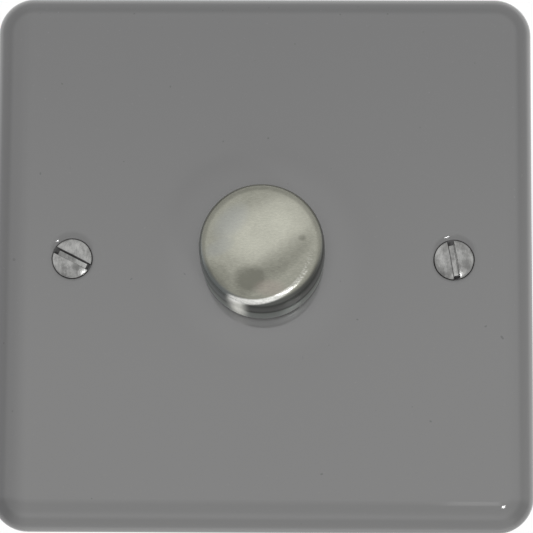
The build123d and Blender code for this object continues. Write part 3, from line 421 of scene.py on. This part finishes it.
# Threaded bush, nut and washer: the bush is turned from brass rod with a fine cut thread, and
# the hexagon nut and a spring washer clamp the frame with it to the plate.
bush_brass = Finish("threaded_brass", Metallic=1.0)
bush_tone = bush_brass.noise(140.0, 5.0, 0.6)
crests = bush_brass.node(
    "ShaderNodeTexWave",
    {"bands_direction": "Y"},
    {"Vector": bush_brass.place(), "Scale": 420.0},
    "Fac",
)
bush_brass.set(
    Base_Color=bush_brass.blend(bush_tone, (0.56, 0.38, 0.14), (0.83, 0.65, 0.33)),
    Roughness=bush_brass.between(bush_tone, 0.18, 0.4),
)
bush_brass.relief(crests, 0.2 * mm, 0.8)
dress(bush_brass, "turned_brass", "threaded_bush")
dress(brass, "turned_brass", "bush_nut")
dress(zinc, "zinc_steel", "lock_washer")


# Triac: moulded in black epoxy and held to the frame by an aluminium rivet, so that the frame
# draws off its heat.
epoxy = grained(
    "black_epoxy", 1600.0, (0.014, 0.014, 0.015), (0.034, 0.034, 0.035), 0.25, 0.5, 0.02
)
dress(epoxy, "black_moulding", "triac")
dress(aluminium, "folded_aluminium", "triac_rivet")


# Circuit board: paper laminate, punched and drilled, laid on posts inside the case.
laminate = grained(
    "paper_laminate", 400.0, (0.20, 0.12, 0.045), (0.40, 0.265, 0.12), 0.35, 0.6, 0.02
)
dress(laminate, "board_laminate", "circuit_board")


# Parts on the board: a ferrite ring wound with varnished wire and a boxed capacitor keep
# interference off the mains; a glass fuse in tinned clips and dipped resistors go with them.
ferrite = grained(
    "ferrite", 1800.0, (0.028, 0.028, 0.032), (0.085, 0.085, 0.09), 0.45, 0.75, 0.04
)
wire = grained(
    "varnished_wire", 900.0, (0.34, 0.11, 0.035), (0.64, 0.27, 0.105), 0.2, 0.35, 0.01,
    Metallic=0.9, Coat_Weight=0.6,
)
box = grained(
    "capacitor_box", 1500.0, (0.58, 0.40, 0.055), (0.76, 0.58, 0.13), 0.22, 0.38, 0.02
)
glass = grained(
    "fuse_tube", 700.0, (0.75, 0.80, 0.82), (0.92, 0.94, 0.95), 0.03, 0.12, 0.005,
    IOR=1.5, Transmission_Weight=0.7,
)
dip = grained("dipped_coating", 800.0, (0.60, 0.48, 0.30), (0.78, 0.66, 0.48), 0.25, 0.4, 0.02)
tin = grained(
    "tinned", 500.0, (0.58, 0.59, 0.60), (0.84, 0.85, 0.86), 0.15, 0.35, 0.01, Metallic=1.0
)
dress(ferrite, "dark_ferrite", "choke_core")
dress(wire, "enamelled_wire", "choke_winding")
dress(box, "capacitor_box", "filter_capacitor")
dress(glass, "fuse_glass", "fuse")
dress(tin, "tinned_metal", "fuse_clips")
dress(dip, "resistor_coating", "resistors")


# Terminals: three brass cages in the case's bay, each with a zinc plated screw that is
# reached from the back. Line, common and second line, from left to right.
dress(brass, "turned_brass", "terminal_line_1", "terminal_common", "terminal_line_2")
dress(zinc, "zinc_steel", "terminal_screws")


# Rotary control, the half that stays: a drawn steel cover, a laminate wafer printed with the
# carbon track, and three tinned tags riveted through it.
carbon = grained(
    "carbon_print", 3000.0, (0.010, 0.010, 0.010), (0.038, 0.038, 0.038), 0.5, 0.7, 0.01
)
dress(zinc, "zinc_steel", "pot_cover")
dress(laminate, "board_laminate", "pot_wafer")
dress(carbon, "carbon_print", "resistance_track")
dress(tin, "tinned_metal", "pot_tags")


# Rotary control, the half that turns: a grey moulded rotor and its sprung copper wiper.
grey = grained(
    "grey_moulding", 2500.0, (0.26, 0.26, 0.27), (0.39, 0.39, 0.40), 0.4, 0.6, 0.03
)
copper = grained(
    "contact_copper", 300.0, (0.48, 0.23, 0.11), (0.82, 0.48, 0.31), 0.2, 0.45, 0.01, Metallic=1.0
)
dress(grey, "grey_moulding", "wiper_rotor")
dress(copper, "contact_copper", "wiper_contact")


# Push switch: a black base with two brass contacts, a grey plunger that carries the copper
# bridge, and the return spring behind it. The spring's end coils are closed.
def coil(name, radius, wire_radius, turns, front, back, steps=56, sides=12):
    """Wire coiled about the Y direction with closed ends; front and back are y in metres."""
    mesh = bmesh.new()
    count = round(turns * steps)
    first, last = front + wire_radius * mm, back - wire_radius * mm
    rings = []
    for step in range(count + 1):
        angle = 2 * math.pi * step / steps
        share = min(max((step / steps - 0.5) / (turns - 1.0), 0.0), 1.0)
        along = first + (last - first) * share
        ring = []
        for side in range(sides):
            round_wire = 2 * math.pi * side / sides
            reach = (radius + wire_radius * math.cos(round_wire)) * mm
            lift = wire_radius * math.sin(round_wire) * mm
            ring.append(
                mesh.verts.new((reach * math.cos(angle), along + lift, reach * math.sin(angle)))
            )
        rings.append(ring)
    for low, high in zip(rings, rings[1:]):
        for side in range(sides):
            after = (side + 1) % sides
            mesh.faces.new((low[side], low[after], high[after], high[side]))
    mesh.faces.new(rings[0])
    mesh.faces.new(rings[-1])
    return shown(mesh, name, 40)


spring_steel = grained(
    "spring_steel", 1500.0, (0.32, 0.32, 0.34), (0.54, 0.54, 0.55), 0.2, 0.35, 0.01, Metallic=1.0
)
spring_radius, spring_wire, spring_turns, push = 1.7, 0.18, 4.5, 1.2
front_end, back_end = (corner[1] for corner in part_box("return_spring"))
spring = coil("return_coil", spring_radius, spring_wire, spring_turns, front_end, back_end)
spring.data.materials.append(spring_steel.material)
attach(spring, "housing")
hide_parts("return_spring")
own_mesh(spring)
dress(black, "black_moulding", "switch_base")
dress(brass, "turned_brass", "fixed_contacts")
dress(grey, "grey_moulding", "switch_plunger")
dress(copper, "contact_copper", "contact_bridge")


# Module case: black, moulded with vents, posts and the terminal bay. It slides into the frame
# and two zinc plated screws through the frame's cheeks hold it.
dress(black, "black_moulding", "module_case")
dress(zinc, "zinc_steel", "case_screws")


# Spindle: a steel rod with a flat for the knob and a keyed end for the rotor. The clip in its
# groove keeps it in the bush.
dress(zinc, "zinc_steel", "spindle", "retaining_clip")


# Knob: a moulded core with a flat spring that grips the spindle, inside a shell spun from
# stainless steel, with a soft shoulder and a fine step where the spinning roller stopped. Its
# colour holds painted reflections and painted highlights of the room's light in soft marks,
# which stay put in the room as it turns.
def arc(centre, radius, start, end, count):
    """Points on an arc, in (radius, height), angles in degrees."""
    points = []
    for step in range(count + 1):
        angle = math.radians(start + (end - start) * step / count)
        points.append(
            (centre[0] + radius * math.cos(angle), centre[1] + radius * math.sin(angle))
        )
    return points


dress(grey, "grey_moulding", "knob_insert")
dress(spring_steel, "spring_steel", "grip_spring")
knob_base, knob_top, knob_radius, lip = 7.1, 21.5, 9.65, 0.2
roof_height, roof_radius, mouth_radius = 20.1, 8.5, 8.72
step_height, step_depth, step_rise = 13.7, 0.07, 0.12
upper_radius = knob_radius - step_depth
shoulder, shoulder_middle, shoulder_drop = 2.0, 7.47, 0.36
face_radius, face_crown, face_steps = 7.4, 0.3, 12
taper = ((16.6, 0.0), (18.1, 0.03), (19.0, 0.08))
outline = [(0.0, roof_height), (roof_radius, roof_height), (mouth_radius, knob_base + lip)]
outline += arc((mouth_radius + lip, knob_base + lip), lip, 180, 270, 4)
outline += arc((knob_radius - lip, knob_base + lip), lip, 270, 360, 4)
outline += [(knob_radius, step_height), (upper_radius, step_height + step_rise)]
outline += [(upper_radius - inward, height) for height, inward in taper]
outline += arc((shoulder_middle, knob_top - shoulder_drop - shoulder), shoulder, 6, 84, 20)
for step in range(face_steps - 1, -1, -1):
    share = step / face_steps
    outline.append((face_radius * share, knob_top - face_crown * share**2))
knob = turned("knob_shell", outline, 256)

knob_steel = Finish("brushed_knob_steel")
in_room = knob_steel.node("ShaderNodeNewGeometry", out="Position")
across, depth, up = knob_steel.axes(in_room)
height = depth * -1.0
reach = (across**2.0 + up**2.0) ** 0.5
bearing = across / reach


def patch(x, z, wide, high, lean=0.0):
    """Soft round patch of painted reflection on the knob's face, 1 in its middle, sizes in mm."""
    cosine, sine = math.cos(math.radians(lean)), math.sin(math.radians(lean))
    right, over = across - x * mm, up - z * mm
    along = (right * cosine + over * sine) / (wide * mm)
    beside = (over * cosine - right * sine) / (high * mm)
    return knob_steel.ease(along**2.0 + beside**2.0, 1.0, 0.0)


brushing = knob_steel.noise(6000.0, 4.0, 0.7, knob_steel.place((0.3, 1.0, 1.0), (0.0, 0.9, 0.0)))
broad = knob_steel.noise(260.0)
# Painted reflections in the face's colour: the window's light, the dark of a hand and of the lens,
# and two smaller dark marks.
window_light = patch(0.5, 1.8, 8.6, 5.6, 25.0)
hand_shade = patch(2.6, -2.4, 7.6, 2.6, 40.0)
lens_shade = patch(-1.9, -5.4, 3.1, 2.7, 25.0)
small_shade = patch(6.1, 1.0, 0.8, 0.6)
low_shade = patch(-6.6, -4.8, 3.4, 2.2, -50.0)
# Painted reflections: a reddish and a bluish reflected colour on the face.
red_reflection = patch(1.3, -6.6, 3.0, 1.6)
blue_reflection = patch(-6.3, -0.5, 3.0, 1.5, 25.0) * 0.3 + patch(-4.6, 3.4, 4.2, 2.4, 48.0) * 0.35
# The face's tone: brushing grain and random drift plus the painted reflections.
tone = 0.35 + (brushing - 0.5) * 0.55 + (broad - 0.5) * 0.30 + window_light * 0.40
tone = tone - lens_shade * 0.36 - hand_shade * 0.19 - small_shade * 0.22 - low_shade * 0.20
face_steel = knob_steel.blend(tone, (0.185, 0.185, 0.155), (0.59, 0.59, 0.505))
face_steel = knob_steel.blend(red_reflection * 0.35, face_steel, (0.36, 0.30, 0.27))
face_steel = knob_steel.blend(blue_reflection, face_steel, (0.33, 0.35, 0.365))

side_start, side_full, skirt_fade, rim_inner, rim_outer, rim_lean = 20.3, 19.8, 0.2, 8.75, 9.3, 0.06
gleam_lean, gleam_inner, gleam_outer, gleam_fade = 1.15, 8.1, 9.1, 0.3
gleam_start, gleam_full, gleam_end = -0.60, -0.48, 1.0
highlight_streak_start, highlight_streak_full, highlight_streak_fade, highlight_streak_end = -5.6, -3.9, -3.5, -1.6
# Painted reflections on the side: a dark band above the step over a pale skirt, lighter at the far
# left, mid grey towards the top.
below = knob_steel.ease(up, 0.0, -3.0 * mm)
lower = knob_steel.ease(up, 5.0 * mm, -3.0 * mm)
side = knob_steel.ease(height, side_start * mm, side_full * mm)
skirt = knob_steel.ease(height, (step_height + skirt_fade) * mm, step_height * mm) * side
left_side = knob_steel.ease(across, -3.0 * mm, -6.0 * mm)
dark_reflection_band = knob_steel.blend(left_side, (0.15, 0.155, 0.145), (0.27, 0.29, 0.285))
painted_side_reflections = knob_steel.blend(skirt, dark_reflection_band, (0.46, 0.49, 0.465))
painted_side_reflections = knob_steel.blend(lower, (0.27, 0.275, 0.25), painted_side_reflections)
# The rim mask brings the painted side reflections onto the edge of the face as a dark ring.
rim = knob_steel.ease(reach - up * rim_lean, rim_inner * mm, rim_outer * mm)
# Painted highlight: a bright arc round the lower edge of the face, broken by the brushing.
leaning = reach + bearing * gleam_lean * mm
gleam = knob_steel.ease(leaning, gleam_inner * mm, (gleam_inner + gleam_fade) * mm)
gleam = gleam * knob_steel.ease(leaning, gleam_outer * mm, (gleam_outer - gleam_fade) * mm)
gleam = gleam * below * knob_steel.ease(bearing, gleam_start, gleam_full)
gleam = gleam * (knob_steel.ease(bearing, gleam_end, 0.0) * 0.95 + (brushing - 0.5) * 1.6)
# Painted highlight: a bright upright streak low on the left of the side.
highlight_streak = knob_steel.ease(across, highlight_streak_start * mm, highlight_streak_full * mm)
highlight_streak = highlight_streak * knob_steel.ease(across, highlight_streak_end * mm, highlight_streak_fade * mm) * below * side
steel = knob_steel.blend(rim, face_steel, painted_side_reflections)
steel = knob_steel.blend(highlight_streak, steel, (0.98, 0.98, 0.91))
# Metallic drops under the painted highlights so that their pale colour shows.
knob_steel.set(
    Base_Color=knob_steel.blend(gleam, steel, (0.97, 0.97, 0.93)),
    Roughness=knob_steel.between(brushing, 0.20, 0.30) + side * 0.12,
    Metallic=1.0 - highlight_streak * 0.75 - gleam * 0.2,
)
knob_steel.relief(brushing, 0.02 * mm, 0.2)
knob.data.materials.append(knob_steel.material)
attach(knob, "knob")
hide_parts("knob_cap")


# Stage: a pale floor under the switch that lets light and reflections through and shows plain
# white but for the object's shadow, and white surroundings that are brighter in front and
# darker low down, so that the rolled edges of the plate read.
floor_height, floor_radius, floor_glow, glow_share = -0.066, 1.5, 1.3, 0.66
disc = bmesh.new()
bmesh.ops.create_circle(disc, cap_ends=True, radius=floor_radius, segments=64)
bmesh.ops.translate(disc, vec=(0.0, 0.0, floor_height), verts=disc.verts)
floor = shown(disc, "floor", 30)
if floor.data.polygons[0].normal.z < 0:
    floor.data.flip_normals()
floor.visible_shadow = False
floor.visible_glossy = False
floor.visible_diffuse = False
pale = Finish("pale_floor", Base_Color=(0.8, 0.8, 0.8), Roughness=0.9)
glow = pale.node("ShaderNodeEmission", {}, {"Color": (1.0, 1.0, 1.0), "Strength": floor_glow})
seen = pale.node("ShaderNodeLightPath", out="Is Camera Ray")
matt = Signal(pale, pale.shader.outputs[0])
lit_floor = pale.node("ShaderNodeMixShader", {}, {0: seen * glow_share, 1: matt, 2: glow})
under = pale.node("ShaderNodeNewGeometry", out="Backfacing")
clear = pale.node("ShaderNodeBsdfTransparent")
whole = pale.node("ShaderNodeMixShader", {}, {0: under, 1: lit_floor, 2: clear})
pale.plug(pale.tree.nodes["Material Output"].inputs["Surface"], whole)
floor.data.materials.append(pale.material)

world = bpy.data.worlds.new("white_surroundings")
bpy.context.scene.world = world
world.use_nodes = True


class Surroundings(Finish):
    """The world's own node tree, built with the same methods as a finish."""

    def __init__(self, world):
        self.tree = world.node_tree
        self.shader = self.tree.nodes["Background"]


# The camera sees plain white. Reflections see more light in front and behind than at the
# sides, and less low down; matt surfaces take most of their light from the front.
front_tone, back_tone, even_tone, low_loss, bottom_tone = 0.32, 0.30, 0.66, 0.26, 0.20
even_light, front_light, side_light = 0.38, 1.28, 0.75
camera_side = (0.0, -0.996, -0.090)
air = Surroundings(world)
toward = air.node("ShaderNodeTexCoord", out="Generated")
ahead = air.node(
    "ShaderNodeVectorMath", {"operation": "DOT_PRODUCT"}, {0: toward, 1: camera_side}, "Value"
)
elevation = air.axes(toward)[2]
in_front = air.ease(ahead, 0.28, 0.62)
behind = air.ease(ahead, -0.25, -0.55)
low_down = air.ease(elevation, -0.04, -0.30)
underneath = air.ease(elevation, -0.62, -0.92)
mirrored = in_front * front_tone + behind * back_tone + even_tone
mirrored = mirrored - low_down * low_loss + underneath * bottom_tone
rays = air.node("ShaderNodeLightPath", out="Is Camera Ray")
glossy = Signal(air, rays.socket.node.outputs["Is Glossy Ray"])
soft = even_light + air.ease(ahead, 0.74, 0.96) * front_light
soft = soft + air.ease(ahead, 0.36, 0.08) * side_light
lit = glossy * mirrored + (1.0 - glossy) * soft
air.set(Color=(1.0, 1.0, 1.0), Strength=rays + (1.0 - rays) * lit)


# Lamps: a soft one close to the camera that casts hardly any shadow, a small bright one low on
# the right that leaves the white dots, and a faint one for the line beside the corner's dot.
def lamp(name, place, size, power, mirrored=True):
    """Square lamp that looks at the origin; mirrored tells whether reflections show it."""
    light = bpy.data.lights.new(name, "AREA")
    light.shape = "RECTANGLE"
    light.size, light.size_y = size
    light.energy = power
    holder = bpy.data.objects.new(name, light)
    holder.location = place
    holder.rotation_euler = (-Vector(place)).to_track_quat("-Z", "Y").to_euler()
    holder.visible_glossy = mirrored
    bpy.context.scene.collection.objects.link(holder)


lamp("front_lamp", (0.0, -1.0, -0.13), (0.25, 0.25), 1.7, mirrored=False)
lamp("small_lamp", (0.18, -0.545, -0.244), (0.060, 0.060), 0.24)
lamp("faint_lamp", (0.10, -0.60, -0.16), (0.05, 0.08), 0.0056)


# Camera: as far off and as low as the photograph shows, with a little lens shift and a slight
# roll to the right.
camera_data = bpy.data.cameras.new("camera")
camera = bpy.data.objects.new("camera", camera_data)
bpy.context.scene.collection.objects.link(camera)
bpy.context.scene.camera = camera
camera_data.sensor_width = 36.0
camera_data.lens = 138.3
camera_data.shift_y = 0.145
camera_data.clip_start = 0.01
camera_data.clip_end = 10.0
camera.location = (0.0045, -0.3255, -0.0456)
pitch, yaw, roll = math.radians(5.74), math.radians(-0.69), math.radians(0.3)
heading = Vector((math.sin(yaw) * math.cos(pitch), math.cos(yaw) * math.cos(pitch), math.sin(pitch)))
camera.rotation_euler = heading.to_track_quat("-Z", "Y").to_euler()
camera.rotation_euler.rotate_axis("Z", roll)
bpy.context.scene.view_settings.view_transform = "Standard"
